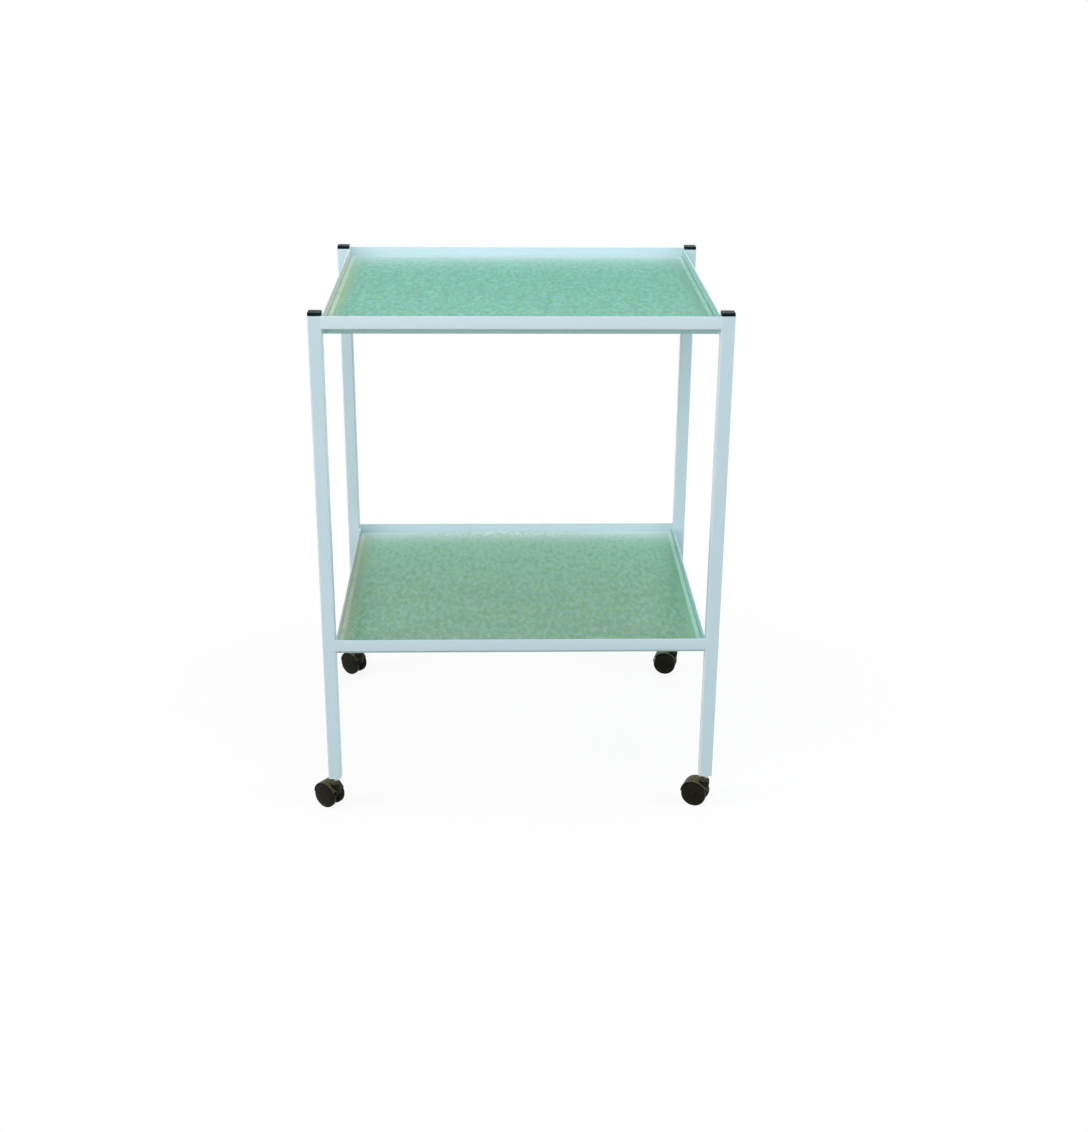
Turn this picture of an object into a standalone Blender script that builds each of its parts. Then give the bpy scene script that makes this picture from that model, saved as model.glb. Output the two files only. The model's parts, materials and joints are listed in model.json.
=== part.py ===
"""Two-shelf medical trolley: a welded square-tube frame, two framed glass shelves, four twin-wheel castors.

Units are metres, +Z is up and the trolley faces -Y. The origin is on the floor, in the middle of the box that
the trolley fills as it stands, with its castors trailing.
"""

import math

import bmesh
import bpy
from mathutils import Matrix, Vector

# Frame of the trolley
FRAME_WIDTH = 0.600
FRAME_DEPTH = 0.500
UPPER_RAIL_TOP = 0.788
LOWER_RAIL_TOP = 0.292

# Leg tube
TUBE_SIDE = 0.020
TUBE_WALL = 0.0015
TUBE_CORNER_RADIUS = 0.0022
TUBE_INNER_CORNER_RADIUS = 0.0008

# Shelf rail: sheet steel folded into an upstand, a ledge for the glass and a lip below
SHEET = 0.0015
UPSTAND_HEIGHT = 0.019
LEDGE_WIDTH = 0.0205
LIP_DROP = 0.0105
BEND_RADIUS = 0.0010

# Glass pane
GLASS_THICKNESS = 0.004
GLASS_SIDE_PLAY = 0.0010
GLASS_CORNER_RADIUS = 0.004
GLASS_ARRIS = 0.0006

# Leg cap: a head on top of the tube and a finned plug inside it
CAP_HEAD_HEIGHT = 0.0047
CAP_HEAD_SETBACK = 0.0003
CAP_HEAD_WALL = 0.0022
CAP_CHAMFER = 0.0012
CAP_PLUG_LENGTH = 0.016
CAP_CORE_SIDE = 0.0125
CAP_PLUG_WALL = 0.0016
CAP_FIN_COUNT = 3
CAP_FIN_THICKNESS = 0.0014
CAP_FIN_PITCH = 0.0053
CAP_LOWEST_FIN = 0.0021

# Threaded plate welded in the foot of each leg
NUT_PLATE_THICKNESS = 0.008

# Castor
WHEEL_RADIUS = 0.020
WHEEL_WIDTH = 0.0090
WHEEL_RIM = 0.0030
WHEEL_DISC = 0.0026
WHEEL_EDGE_ROUND = 0.0022
WHEEL_INNER_CHAMFER = 0.0007
WHEEL_CROWN = 0.0008
HUB_RADIUS = 0.0050
TRAIL = 0.0140
AXLE_RADIUS = 0.0025
AXLE_CHAMFER = 0.0005
STEM_RADIUS = 0.0040
STEM_SHOULDER_RADIUS = 0.0083
STEM_SHOULDER_FOOT_RADIUS = 0.0054
STEM_SHOULDER_RIM = 0.0012
STEM_CHAMFER = 0.0006
STEM_ABOVE_PLATE = 0.003
NECK = 0.0075
HOOD_THICKNESS = 0.0016
HOOD_REACH = 0.0070
HOOD_EDGE_ROUND = 0.0008
HOOD_FRONT_ANGLE = math.radians(150)
HOOD_REAR_ANGLE = math.radians(4)
HOOD_JOIN_DEPTH = 0.0006
BOSS_RADIUS = 0.0080
BOSS_TOP_RADIUS = 0.0058
BOSS_RISE = 0.0052
BOSS_SHOULDER = 0.0040
BOSS_FOOT_RADIUS = 0.0062
BOSS_STRAIGHT_HEIGHT = 0.0090
WEB_WALL = 0.0014
AXLE_WALL = 0.0032
AXLE_EYE_START = math.radians(-115)
WEB_REAR_SETBACK = math.radians(30)
STEM_FLOOR = 0.0015
RING_THICKNESS = 0.0010
RING_DEPTH_BELOW_BOSS_TOP = 0.0050
RING_BITE = 0.0009
RING_OPENING = math.radians(70)

# How far each castor's trail is turned from +X, as the trolley was last pushed
TRAIL_ANGLES = {
    "front_left": math.radians(142),
    "front_right": math.radians(156),
    "rear_left": math.radians(140),
    "rear_right": math.radians(165),
}

# Clearances
SEAT_GAP = 0.0003
RUNNING_GAP = 0.0003
WHEEL_TO_HOOD = 0.0008

# Steps round curved forms
WHEEL_STEPS = 24
STEM_STEPS = 16
HOOD_STEPS = 9
EYE_STEPS = 5
CORNER_STEPS = 3
CAP_STEPS = 2
EDGE_STEPS = 2

# Edges flatter than this are shaded smooth
SMOOTH_ANGLE = math.radians(35)

# Levels and widths that follow from the sizes above; the wheel stands on one of its flats
AXLE_LEVEL = WHEEL_RADIUS * math.cos(math.pi / WHEEL_STEPS)
HOOD_INNER_RADIUS = WHEEL_RADIUS + WHEEL_TO_HOOD
HOOD_OUTER_RADIUS = HOOD_INNER_RADIUS + HOOD_THICKNESS
BOSS_TOP = AXLE_LEVEL + HOOD_OUTER_RADIUS + BOSS_RISE
LEG_FOOT = BOSS_TOP + NECK
STEM_BORE_RADIUS = STEM_RADIUS + RUNNING_GAP
AXLE_BORE_RADIUS = AXLE_RADIUS + RUNNING_GAP
WEB_HALF = STEM_BORE_RADIUS + WEB_WALL
WHEEL_INNER_FACE = WEB_HALF + RUNNING_GAP
WHEEL_OUTER_FACE = WHEEL_INNER_FACE + WHEEL_WIDTH
HOOD_HALF = WHEEL_INNER_FACE + HOOD_REACH
TRAY_WIDTH = FRAME_WIDTH - 2 * (TUBE_SIDE + SEAT_GAP)

CORNERS = {
    "front_left": (-1, -1),
    "front_right": (1, -1),
    "rear_left": (-1, 1),
    "rear_right": (1, 1),
}


def make_material(name, color, roughness, metallic=0.0, transmission=0.0):
    material = bpy.data.materials.new(name)
    material.use_nodes = True
    shader = material.node_tree.nodes["Principled BSDF"]
    shader.inputs["Base Color"].default_value = (*color, 1.0)
    shader.inputs["Roughness"].default_value = roughness
    shader.inputs["Metallic"].default_value = metallic
    shader.inputs["Transmission Weight"].default_value = transmission
    material.diffuse_color = (*color, 1.0)
    return material


def paint():
    return make_material("pale_blue_white_paint", (0.60, 0.70, 0.76), 0.38)


def green_glass():
    return make_material("green_patterned_glass", (0.27, 0.56, 0.43), 0.22, transmission=0.35)


def cap_plastic():
    return make_material("black_cap_plastic", (0.010, 0.013, 0.014), 0.42)


def castor_plastic():
    return make_material("black_castor_plastic", (0.016, 0.017, 0.016), 0.48)


def bright_steel():
    return make_material("zinc_plated_steel", (0.62, 0.62, 0.60), 0.30, metallic=1.0)


def shade(mesh):
    """Smooth across the shallow edges and sharp across the others."""
    mesh.shade_smooth()
    mesh.set_sharp_from_angle(angle=SMOOTH_ANGLE)
    return mesh


def mesh_from(bm, name):
    """Turn a bmesh into a mesh with outward faces."""
    bmesh.ops.recalc_face_normals(bm, faces=bm.faces)
    mesh = bpy.data.meshes.new(name)
    bm.to_mesh(mesh)
    bm.free()
    return shade(mesh)


def place(name, mesh, material, parent, location=(0, 0, 0), turn=0.0):
    """Add an object that shows a mesh, under a parent, turned about Z."""
    obj = bpy.data.objects.new(name, mesh)
    bpy.context.scene.collection.objects.link(obj)
    if not mesh.materials:
        mesh.materials.append(material)
    obj.parent = parent
    obj.location = location
    obj.rotation_euler.z = turn
    return obj


def add_empty(name, parent=None, location=(0, 0, 0), turn=0.0):
    empty = bpy.data.objects.new(name, None)
    bpy.context.scene.collection.objects.link(empty)
    empty.empty_display_size = 0.02
    empty.parent = parent
    empty.location = location
    empty.rotation_euler.z = turn
    return empty


def arc_points(center, radius, start, end, steps):
    """Points of an arc in a plane, both ends included."""
    angles = [start + (end - start) * i / steps for i in range(steps + 1)]
    return [
        (center[0] + radius * math.cos(a), center[1] + radius * math.sin(a)) for a in angles
    ]


def rounded_rectangle(width, depth, radius, steps=CORNER_STEPS):
    """Outline of a rectangle with round corners, centred on the origin, anticlockwise."""
    points = []
    for quarter, (sx, sy) in enumerate(((1, 1), (-1, 1), (-1, -1), (1, -1))):
        center = (sx * (width / 2 - radius), sy * (depth / 2 - radius))
        start = quarter * math.pi / 2
        points += arc_points(center, radius, start, start + math.pi / 2, steps)
    return points


def with_side_points(outline, steps):
    """Split the long sides of an outline, so that no edge spans more than a step of the full turn."""
    points = []
    for i, start in enumerate(outline):
        end = outline[(i + 1) % len(outline)]
        sweep = (math.atan2(end[1], end[0]) - math.atan2(start[1], start[0])) % (2 * math.pi)
        pieces = math.ceil(sweep * steps / (2 * math.pi) - 1e-6)
        for k in range(pieces):
            share = k / pieces
            points.append(tuple(a + (b - a) * share for a, b in zip(start, end)))
    return points


def circle_beside(outline, radius):
    """A circle with one point at the bearing of each point of an outline."""
    return [
        (radius * math.cos(math.atan2(y, x)), radius * math.sin(math.atan2(y, x)))
        for x, y in outline
    ]


def at_level(outline, z):
    return [(x, y, z) for x, y in outline]


def ring_stack(rings, name, closed=False):
    """Solid through rings of equal length: capped at both ends, or closed on itself like a tube."""
    bm = bmesh.new()
    layers = [[bm.verts.new(point) for point in ring] for ring in rings]
    pairs = list(zip(layers, layers[1:]))
    if closed:
        pairs.append((layers[-1], layers[0]))
    for near, far in pairs:
        for i, corner in enumerate(near):
            j = (i + 1) % len(near)
            bm.faces.new((corner, near[j], far[j], far[i]))
    if not closed:
        bm.faces.new(list(reversed(layers[0])))
        bm.faces.new(layers[-1])
    return mesh_from(bm, name)


def turned_rings(profile, steps):
    """Rings of a profile of (radius, height) turned about Z, with a flat on the -Y side."""
    angles = [2 * math.pi * (i + 0.5) / steps - math.pi / 2 for i in range(steps)]
    return [[(r * math.cos(a), r * math.sin(a), z) for a in angles] for r, z in profile]


def laid_along_y(rings, center=(0, 0)):
    """Turn rings about Z into rings about a line along Y, through a centre in X and Z."""
    return [[(center[0] + x, along, center[1] + y) for x, y, along in ring] for ring in rings]


def extruded(outline, start, end, name):
    """Solid of an (x, z) outline, extruded along Y from start to end."""
    near = [(x, start, z) for x, z in outline]
    far = [(x, end, z) for x, z in outline]
    return ring_stack([near, far], name)


def folded_strip(path, thickness, inner_radius, steps=CORNER_STEPS):
    """Outline of a strip of sheet folded along a path of right-angled corners, with rounded bends."""
    half = thickness / 2
    middle_radius = inner_radius + half
    sides = {1: [], -1: []}
    points = [Vector(point) for point in path]
    for i, point in enumerate(points):
        along_in = (point - points[i - 1]).normalized() if i else None
        along_out = (points[i + 1] - point).normalized() if i + 1 < len(points) else None
        if along_in is None or along_out is None:
            along = along_out or along_in
            normal = Vector((-along.y, along.x))
            for side, line in sides.items():
                line.append(point + side * half * normal)
            continue
        turn = 1 if along_in.cross(along_out) > 0 else -1
        center = point - middle_radius * along_in + middle_radius * along_out
        for side, line in sides.items():
            radius = middle_radius - side * turn * half
            for k in range(steps + 1):
                angle = turn * (math.pi / 2) * k / steps
                spoke = Matrix.Rotation(angle, 2) @ (-along_out)
                line.append(center + radius * spoke)
    return [tuple(p) for p in sides[1]] + [tuple(p) for p in reversed(sides[-1])]


def rail_path():
    """Middle of a rail's sheet: (distance in from the outer face, height above the rail's top)."""
    half = SHEET / 2
    ledge_middle = -UPSTAND_HEIGHT + half
    return [
        (half, 0.0),
        (half, ledge_middle),
        (LEDGE_WIDTH - half, ledge_middle),
        (LEDGE_WIDTH - half, -UPSTAND_HEIGHT - LIP_DROP),
    ]


def straight_rail_mesh(length, name):
    """A square-ended rail along X, its outer face on Y = 0 and its ledge towards +Y."""
    outline = folded_strip(rail_path(), SHEET, BEND_RADIUS)
    ends = [[(x, inward, z) for inward, z in outline] for x in (-length / 2, length / 2)]
    return ring_stack(ends, name)


def cope_outline():
    """All that a long rail fills or hides at a side rail's end: its section grown by the gap, and the rest
    outside and below it, as (distance in from the long rail's outer face, height).
    """
    path = rail_path()
    path[0] = (path[0][0], SHEET)
    path[-1] = (path[-1][0], path[-1][1] - SHEET)
    grown = folded_strip(path, SHEET + 2 * SEAT_GAP, BEND_RADIUS - SEAT_GAP)
    inner_line = grown[: len(grown) // 2]
    return [(-SHEET, path[0][1]), *inner_line, (-SHEET, path[-1][1])]


def side_rail_mesh(name):
    """A rail whose ends are coped, so that its upstand runs over the long rails' ledges."""
    cuts = []
    for side in (-1, 1):
        outline = [(side * (FRAME_DEPTH / 2 - inward), z) for inward, z in cope_outline()]
        cuts.append(("DIFFERENCE", extruded(outline, -SHEET, LEDGE_WIDTH + SHEET, "cope")))
    return combined(straight_rail_mesh(FRAME_DEPTH, name), cuts, name)


def build_shelf(level, rail_top, root, paint_finish, glass_finish):
    """Two long rails from leg to leg, two side rails coped between them, and the pane on their ledges."""
    long_rail = straight_rail_mesh(TRAY_WIDTH, f"{level}_long_rail")
    side_rail = side_rail_mesh(f"{level}_side_rail")
    sides = {
        "front": (long_rail, (0, -FRAME_DEPTH / 2), 0),
        "right": (side_rail, (TRAY_WIDTH / 2, 0), math.pi / 2),
        "rear": (long_rail, (0, FRAME_DEPTH / 2), math.pi),
        "left": (side_rail, (-TRAY_WIDTH / 2, 0), -math.pi / 2),
    }
    for side, (mesh, (x, y), turn) in sides.items():
        place(f"{level}_{side}_rail", mesh, paint_finish, root, (x, y, rail_top), turn)
    underside = rail_top - UPSTAND_HEIGHT + SHEET + SEAT_GAP
    place(f"{level}_glass_pane", glass_mesh(level), glass_finish, root, (0, 0, underside))


def glass_mesh(level):
    """A pane with rounded corners and a fine arris on every edge, its underside on Z = 0."""
    border = SHEET + GLASS_SIDE_PLAY
    width = TRAY_WIDTH - 2 * border
    depth = FRAME_DEPTH - 2 * border
    whole = rounded_rectangle(width, depth, GLASS_CORNER_RADIUS)
    small = rounded_rectangle(
        width - 2 * GLASS_ARRIS, depth - 2 * GLASS_ARRIS, GLASS_CORNER_RADIUS - GLASS_ARRIS
    )
    rings = [
        at_level(small, 0),
        at_level(whole, GLASS_ARRIS),
        at_level(whole, GLASS_THICKNESS - GLASS_ARRIS),
        at_level(small, GLASS_THICKNESS),
    ]
    return ring_stack(rings, f"{level}_glass")


def leg_mesh():
    """Square tube from the foot to the top of the upper rails, open at both ends."""
    outer = rounded_rectangle(TUBE_SIDE, TUBE_SIDE, TUBE_CORNER_RADIUS)
    bore = TUBE_SIDE - 2 * TUBE_WALL
    inner = rounded_rectangle(bore, bore, TUBE_INNER_CORNER_RADIUS)
    rings = [
        at_level(outer, LEG_FOOT),
        at_level(outer, UPPER_RAIL_TOP),
        at_level(inner, UPPER_RAIL_TOP),
        at_level(inner, LEG_FOOT),
    ]
    return ring_stack(rings, "leg", closed=True)


def cap_mesh():
    """Moulded cap: a chamfered head, and a hollow plug below it with fins that grip the tube."""
    head = TUBE_SIDE - 2 * CAP_HEAD_SETBACK
    fin = TUBE_SIDE - 2 * TUBE_WALL - 2 * SEAT_GAP
    hollow = CAP_CORE_SIDE - 2 * CAP_PLUG_WALL

    def square(side, z):
        return at_level(rounded_rectangle(side, side, TUBE_INNER_CORNER_RADIUS, CAP_STEPS), z)

    def head_ring(side, z):
        return at_level(rounded_rectangle(side, side, TUBE_CORNER_RADIUS, CAP_STEPS), z)

    rings = [
        square(hollow, CAP_HEAD_HEIGHT - CAP_HEAD_WALL),
        square(hollow, -CAP_PLUG_LENGTH),
        square(CAP_CORE_SIDE, -CAP_PLUG_LENGTH),
    ]
    for i in range(CAP_FIN_COUNT):
        low = -CAP_PLUG_LENGTH + CAP_LOWEST_FIN + CAP_FIN_PITCH * i
        high = low + CAP_FIN_THICKNESS
        rings += [square(CAP_CORE_SIDE, low), square(fin, high), square(CAP_CORE_SIDE, high)]
    rings += [
        square(CAP_CORE_SIDE, 0),
        head_ring(head, 0),
        head_ring(head, CAP_HEAD_HEIGHT - CAP_CHAMFER),
        head_ring(head - 2 * CAP_CHAMFER, CAP_HEAD_HEIGHT),
    ]
    return ring_stack(rings, "leg_cap")


def nut_plate_mesh():
    """Square plate that fills the tube's foot, with the hole that the castor's stem screws into."""
    side = TUBE_SIDE - 2 * TUBE_WALL - 2 * SEAT_GAP
    corners = rounded_rectangle(side, side, TUBE_INNER_CORNER_RADIUS, steps=1)
    outline = with_side_points(corners, STEM_STEPS)
    hole = circle_beside(outline, STEM_RADIUS + SEAT_GAP)
    rings = [
        at_level(outline, 0),
        at_level(outline, NUT_PLATE_THICKNESS),
        at_level(hole, NUT_PLATE_THICKNESS),
        at_level(hole, 0),
    ]
    return ring_stack(rings, "nut_plate", closed=True)


def ring_level():
    """Height of the middle of the spring ring that keeps the castor on its stem."""
    return BOSS_TOP - RING_DEPTH_BELOW_BOSS_TOP


def stem_foot():
    """Height of the stem's lower end, above the floor of its blind bore."""
    return AXLE_LEVEL + AXLE_BORE_RADIUS + STEM_FLOOR + RUNNING_GAP


def stem_mesh():
    """Turned stem: a bearing length with a ring groove, a tapered shoulder under the leg, the screwed end."""
    groove_radius = STEM_RADIUS - RING_BITE
    groove_half = RING_THICKNESS / 2 + RUNNING_GAP
    shoulder_top = LEG_FOOT - SEAT_GAP
    shoulder_foot = BOSS_TOP + RUNNING_GAP
    top = LEG_FOOT + NUT_PLATE_THICKNESS + STEM_ABOVE_PLATE
    profile = [
        (STEM_RADIUS - STEM_CHAMFER, stem_foot()),
        (STEM_RADIUS, stem_foot() + STEM_CHAMFER),
        (STEM_RADIUS, ring_level() - groove_half),
        (groove_radius, ring_level() - groove_half),
        (groove_radius, ring_level() + groove_half),
        (STEM_RADIUS, ring_level() + groove_half),
        (STEM_RADIUS, shoulder_foot),
        (STEM_SHOULDER_FOOT_RADIUS, shoulder_foot),
        (STEM_SHOULDER_RADIUS, shoulder_top - STEM_SHOULDER_RIM),
        (STEM_SHOULDER_RADIUS, shoulder_top),
        (STEM_RADIUS, shoulder_top),
        (STEM_RADIUS, top - STEM_CHAMFER),
        (STEM_RADIUS - STEM_CHAMFER, top),
    ]
    return ring_stack(turned_rings(profile, STEM_STEPS), "stem")


def spring_ring_mesh():
    """Open spring ring that sits half in the stem's groove and half in the boss's."""
    inner = STEM_RADIUS - RING_BITE + SEAT_GAP
    outer = STEM_BORE_RADIUS + RING_BITE - SEAT_GAP
    half = RING_THICKNESS / 2
    start = RING_OPENING / 2
    end = 2 * math.pi - start
    rings = []
    for i in range(STEM_STEPS + 1):
        angle = start + (end - start) * i / STEM_STEPS
        c, s = math.cos(angle), math.sin(angle)
        section = ((inner, -half), (outer, -half), (outer, half), (inner, half))
        rings.append([(r * c, r * s, ring_level() + z) for r, z in section])
    return ring_stack(rings, "spring_ring")


def wheel_mesh():
    """Moulded wheel turned about Y, open towards the castor's middle, with a blind bore for the axle.

    Its origin is on the axle in the middle of the castor, and the wheel lies on the +Y side.
    """
    inner = WHEEL_INNER_FACE
    shoulder = WHEEL_OUTER_FACE - WHEEL_CROWN
    disc_inside = shoulder - WHEEL_DISC
    rim_inside = WHEEL_RADIUS - WHEEL_RIM
    edge = (WHEEL_RADIUS - WHEEL_EDGE_ROUND, shoulder - WHEEL_EDGE_ROUND)
    profile = [
        (AXLE_BORE_RADIUS, axle_half_length() + SEAT_GAP),
        (AXLE_BORE_RADIUS, inner),
        (HUB_RADIUS, inner),
        (HUB_RADIUS, disc_inside),
        (rim_inside, disc_inside),
        (rim_inside, inner),
        (WHEEL_RADIUS - WHEEL_INNER_CHAMFER, inner),
        (WHEEL_RADIUS, inner + WHEEL_INNER_CHAMFER),
        *arc_points(edge, WHEEL_EDGE_ROUND, 0, math.pi / 2, EDGE_STEPS),
        (HUB_RADIUS, WHEEL_OUTER_FACE),
    ]
    return ring_stack(laid_along_y(turned_rings(profile, WHEEL_STEPS)), "wheel")


def axle_half_length():
    """The axle reaches into both wheels' discs and stops short of their outer faces."""
    return WHEEL_OUTER_FACE - WHEEL_CROWN - WHEEL_DISC / 2 - SEAT_GAP


def axle_mesh():
    """Round pin along Y with chamfered ends."""
    half = axle_half_length()
    profile = [
        (AXLE_RADIUS - AXLE_CHAMFER, -half),
        (AXLE_RADIUS, -half + AXLE_CHAMFER),
        (AXLE_RADIUS, half - AXLE_CHAMFER),
        (AXLE_RADIUS - AXLE_CHAMFER, half),
    ]
    return ring_stack(laid_along_y(turned_rings(profile, STEM_STEPS)), "axle")


def web_outline():
    """Side view of the castor body's middle web: round the axle, up the trail and round the stem."""
    axle = (TRAIL, AXLE_LEVEL)
    inside_hood = HOOD_OUTER_RADIUS - HOOD_JOIN_DEPTH
    eye = AXLE_BORE_RADIUS + AXLE_WALL
    front = -STEM_BORE_RADIUS - WEB_WALL
    floor = stem_foot() - RUNNING_GAP - STEM_FLOOR
    rear_bearing = HOOD_REAR_ANGLE + WEB_REAR_SETBACK
    front_bearing = math.acos((front - TRAIL) / inside_hood)
    points = arc_points(axle, eye, AXLE_EYE_START, 0, EYE_STEPS)
    points += arc_points(axle, inside_hood, rear_bearing, front_bearing, HOOD_STEPS)
    points.append((front, floor))
    return points


def hood_shell_mesh():
    """Curved guard over both wheels: its rounded section swept about the axle."""
    inner, outer, half = HOOD_INNER_RADIUS, HOOD_OUTER_RADIUS, HOOD_HALF
    section = (
        (inner, -half),
        (outer - HOOD_EDGE_ROUND, -half),
        (outer, -half + HOOD_EDGE_ROUND),
        (outer, half - HOOD_EDGE_ROUND),
        (outer - HOOD_EDGE_ROUND, half),
        (inner, half),
    )
    rings = []
    for i in range(HOOD_STEPS + 1):
        angle = HOOD_REAR_ANGLE + (HOOD_FRONT_ANGLE - HOOD_REAR_ANGLE) * i / HOOD_STEPS
        c, s = math.cos(angle), math.sin(angle)
        rings.append([(TRAIL + r * c, y, AXLE_LEVEL + r * s) for r, y in section])
    return ring_stack(rings, "hood_shell")


def boss_mesh():
    """Boss in front of the wheels that carries the stem, with a sloping shoulder and a narrower foot."""
    profile = [
        (BOSS_FOOT_RADIUS, stem_foot()),
        (BOSS_RADIUS, BOSS_TOP - BOSS_STRAIGHT_HEIGHT),
        (BOSS_RADIUS, BOSS_TOP - BOSS_SHOULDER),
        (BOSS_TOP_RADIUS, BOSS_TOP),
    ]
    return ring_stack(turned_rings(profile, WHEEL_STEPS), "boss")


def stem_bore_mesh():
    """Cutter for the stem's blind bore with the inner groove of the spring ring."""
    groove_radius = STEM_BORE_RADIUS + RING_BITE
    groove_half = RING_THICKNESS / 2 + RUNNING_GAP
    profile = [
        (STEM_BORE_RADIUS, stem_foot() - RUNNING_GAP),
        (STEM_BORE_RADIUS, ring_level() - groove_half),
        (groove_radius, ring_level() - groove_half),
        (groove_radius, ring_level() + groove_half),
        (STEM_BORE_RADIUS, ring_level() + groove_half),
        (STEM_BORE_RADIUS, BOSS_TOP + NECK),
    ]
    return ring_stack(turned_rings(profile, STEM_STEPS), "stem_bore")


def axle_bore_mesh():
    """Cutter for the axle's hole through the web."""
    past_web = 2 * WEB_HALF
    rings = turned_rings([(AXLE_BORE_RADIUS, -past_web), (AXLE_BORE_RADIUS, past_web)], STEM_STEPS)
    return ring_stack(laid_along_y(rings, (TRAIL, AXLE_LEVEL)), "axle_bore")


def wheel_room_mesh():
    """Cutter that keeps the space under the hood, across both wheels, free of the boss."""
    radius = HOOD_INNER_RADIUS + HOOD_JOIN_DEPTH
    rings = turned_rings([(radius, -WHEEL_OUTER_FACE), (radius, WHEEL_OUTER_FACE)], WHEEL_STEPS)
    return ring_stack(laid_along_y(rings, (TRAIL, AXLE_LEVEL)), "wheel_room")


def combined(base, steps, name):
    """Apply union and difference steps to a mesh, in order, and return the solid that results."""
    scene_objects = bpy.context.scene.collection.objects
    target = bpy.data.objects.new(name, base)
    scene_objects.link(target)
    helpers = []
    for operation, mesh in steps:
        helper = bpy.data.objects.new(f"{name}_{len(helpers)}", mesh)
        scene_objects.link(helper)
        helpers.append(helper)
        modifier = target.modifiers.new(operation, "BOOLEAN")
        modifier.operation = operation
        modifier.solver = "EXACT"
        modifier.object = helper
    bpy.context.view_layer.update()
    graph = bpy.context.evaluated_depsgraph_get()
    solid = bpy.data.meshes.new_from_object(target.evaluated_get(graph))
    solid.name = name
    for obj in [target, *helpers]:
        bpy.data.objects.remove(obj, do_unlink=True)
    return shade(solid)


def castor_body_mesh():
    """One moulding: boss, hood over the wheels and middle web, bored for the stem and the axle."""
    steps = [
        ("DIFFERENCE", wheel_room_mesh()),
        ("UNION", hood_shell_mesh()),
        ("UNION", extruded(web_outline(), -WEB_HALF, WEB_HALF, "web")),
        ("DIFFERENCE", stem_bore_mesh()),
        ("DIFFERENCE", axle_bore_mesh()),
    ]
    return combined(boss_mesh(), steps, "castor_body")


def build_leg(corner, position, meshes, finishes, root):
    """The tube with its cap on top and its threaded plate in the foot."""
    x, y = position
    plate_level = LEG_FOOT + SEAT_GAP
    place(f"{corner}_leg", meshes["leg"], finishes["paint"], root, (x, y, 0))
    cap_level = UPPER_RAIL_TOP + SEAT_GAP
    place(f"{corner}_leg_cap", meshes["cap"], finishes["cap"], root, (x, y, cap_level))
    place(f"{corner}_nut_plate", meshes["nut_plate"], finishes["steel"], root, (x, y, plate_level))


def build_castor(corner, position, meshes, finishes, root):
    """Stem and ring fixed to the leg, and a body that swivels about them with two wheels on its axle."""
    x, y = position
    trail = TRAIL_ANGLES[corner]
    place(f"{corner}_castor_stem", meshes["stem"], finishes["steel"], root, (x, y, 0))
    place(f"{corner}_castor_ring", meshes["ring"], finishes["steel"], root, (x, y, 0), trail)
    swivel = add_empty(f"{corner}_swivel", root, (x, y, 0), trail)
    place(f"{corner}_castor_body", meshes["body"], finishes["castor"], swivel)
    axle = add_empty(f"{corner}_wheel_axis", swivel, (TRAIL, 0, AXLE_LEVEL))
    place(f"{corner}_castor_axle", meshes["axle"], finishes["steel"], axle)
    place(f"{corner}_right_wheel", meshes["wheel"], finishes["castor"], axle)
    place(f"{corner}_left_wheel", meshes["wheel"], finishes["castor"], axle, turn=math.pi)


def leg_position(corner):
    side, end = CORNERS[corner]
    return (
        side * (FRAME_WIDTH - TUBE_SIDE) / 2,
        end * (FRAME_DEPTH - TUBE_SIDE) / 2,
    )


def standing_center():
    """Middle of the box that the frame and its trailing castors fill, seen from above."""
    spans = []
    frame_half = (FRAME_WIDTH / 2, FRAME_DEPTH / 2)
    for axis in (0, 1):
        low, high = -frame_half[axis], frame_half[axis]
        for corner, angle in TRAIL_ANGLES.items():
            along = (math.cos(angle), math.sin(angle))
            lengthwise, crosswise = abs(along[axis]), abs(along[1 - axis])
            wheels = WHEEL_RADIUS * lengthwise + WHEEL_OUTER_FACE * crosswise
            hood = HOOD_OUTER_RADIUS * math.cos(HOOD_REAR_ANGLE) * lengthwise + HOOD_HALF * crosswise
            middle = leg_position(corner)[axis] + TRAIL * along[axis]
            hood_tip = middle + math.copysign(hood, along[axis])
            low = min(low, middle - wheels, hood_tip)
            high = max(high, middle + wheels, hood_tip)
        spans.append((low + high) / 2)
    return spans


def build():
    for obj in list(bpy.data.objects):
        bpy.data.objects.remove(obj, do_unlink=True)
    finishes = {
        "paint": paint(),
        "glass": green_glass(),
        "cap": cap_plastic(),
        "castor": castor_plastic(),
        "steel": bright_steel(),
    }
    meshes = {
        "leg": leg_mesh(),
        "cap": cap_mesh(),
        "nut_plate": nut_plate_mesh(),
        "stem": stem_mesh(),
        "ring": spring_ring_mesh(),
        "body": castor_body_mesh(),
        "axle": axle_mesh(),
        "wheel": wheel_mesh(),
    }
    center = standing_center()
    root = add_empty("trolley", location=(-center[0], -center[1], 0))
    for corner in CORNERS:
        position = leg_position(corner)
        build_leg(corner, position, meshes, finishes, root)
        build_castor(corner, position, meshes, finishes, root)
    build_shelf("upper", UPPER_RAIL_TOP, root, finishes["paint"], finishes["glass"])
    build_shelf("lower", LOWER_RAIL_TOP, root, finishes["paint"], finishes["glass"])
    bpy.context.view_layer.update()


build()
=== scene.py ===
"""Looks of the two-shelf medical trolley: dressed pieces, materials, light and camera.

Metres, +Z up, front towards -Y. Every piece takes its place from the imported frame.
"""

import json
import math

import bmesh
import bpy
import numpy as np
from mathutils import Matrix, Vector

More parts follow.
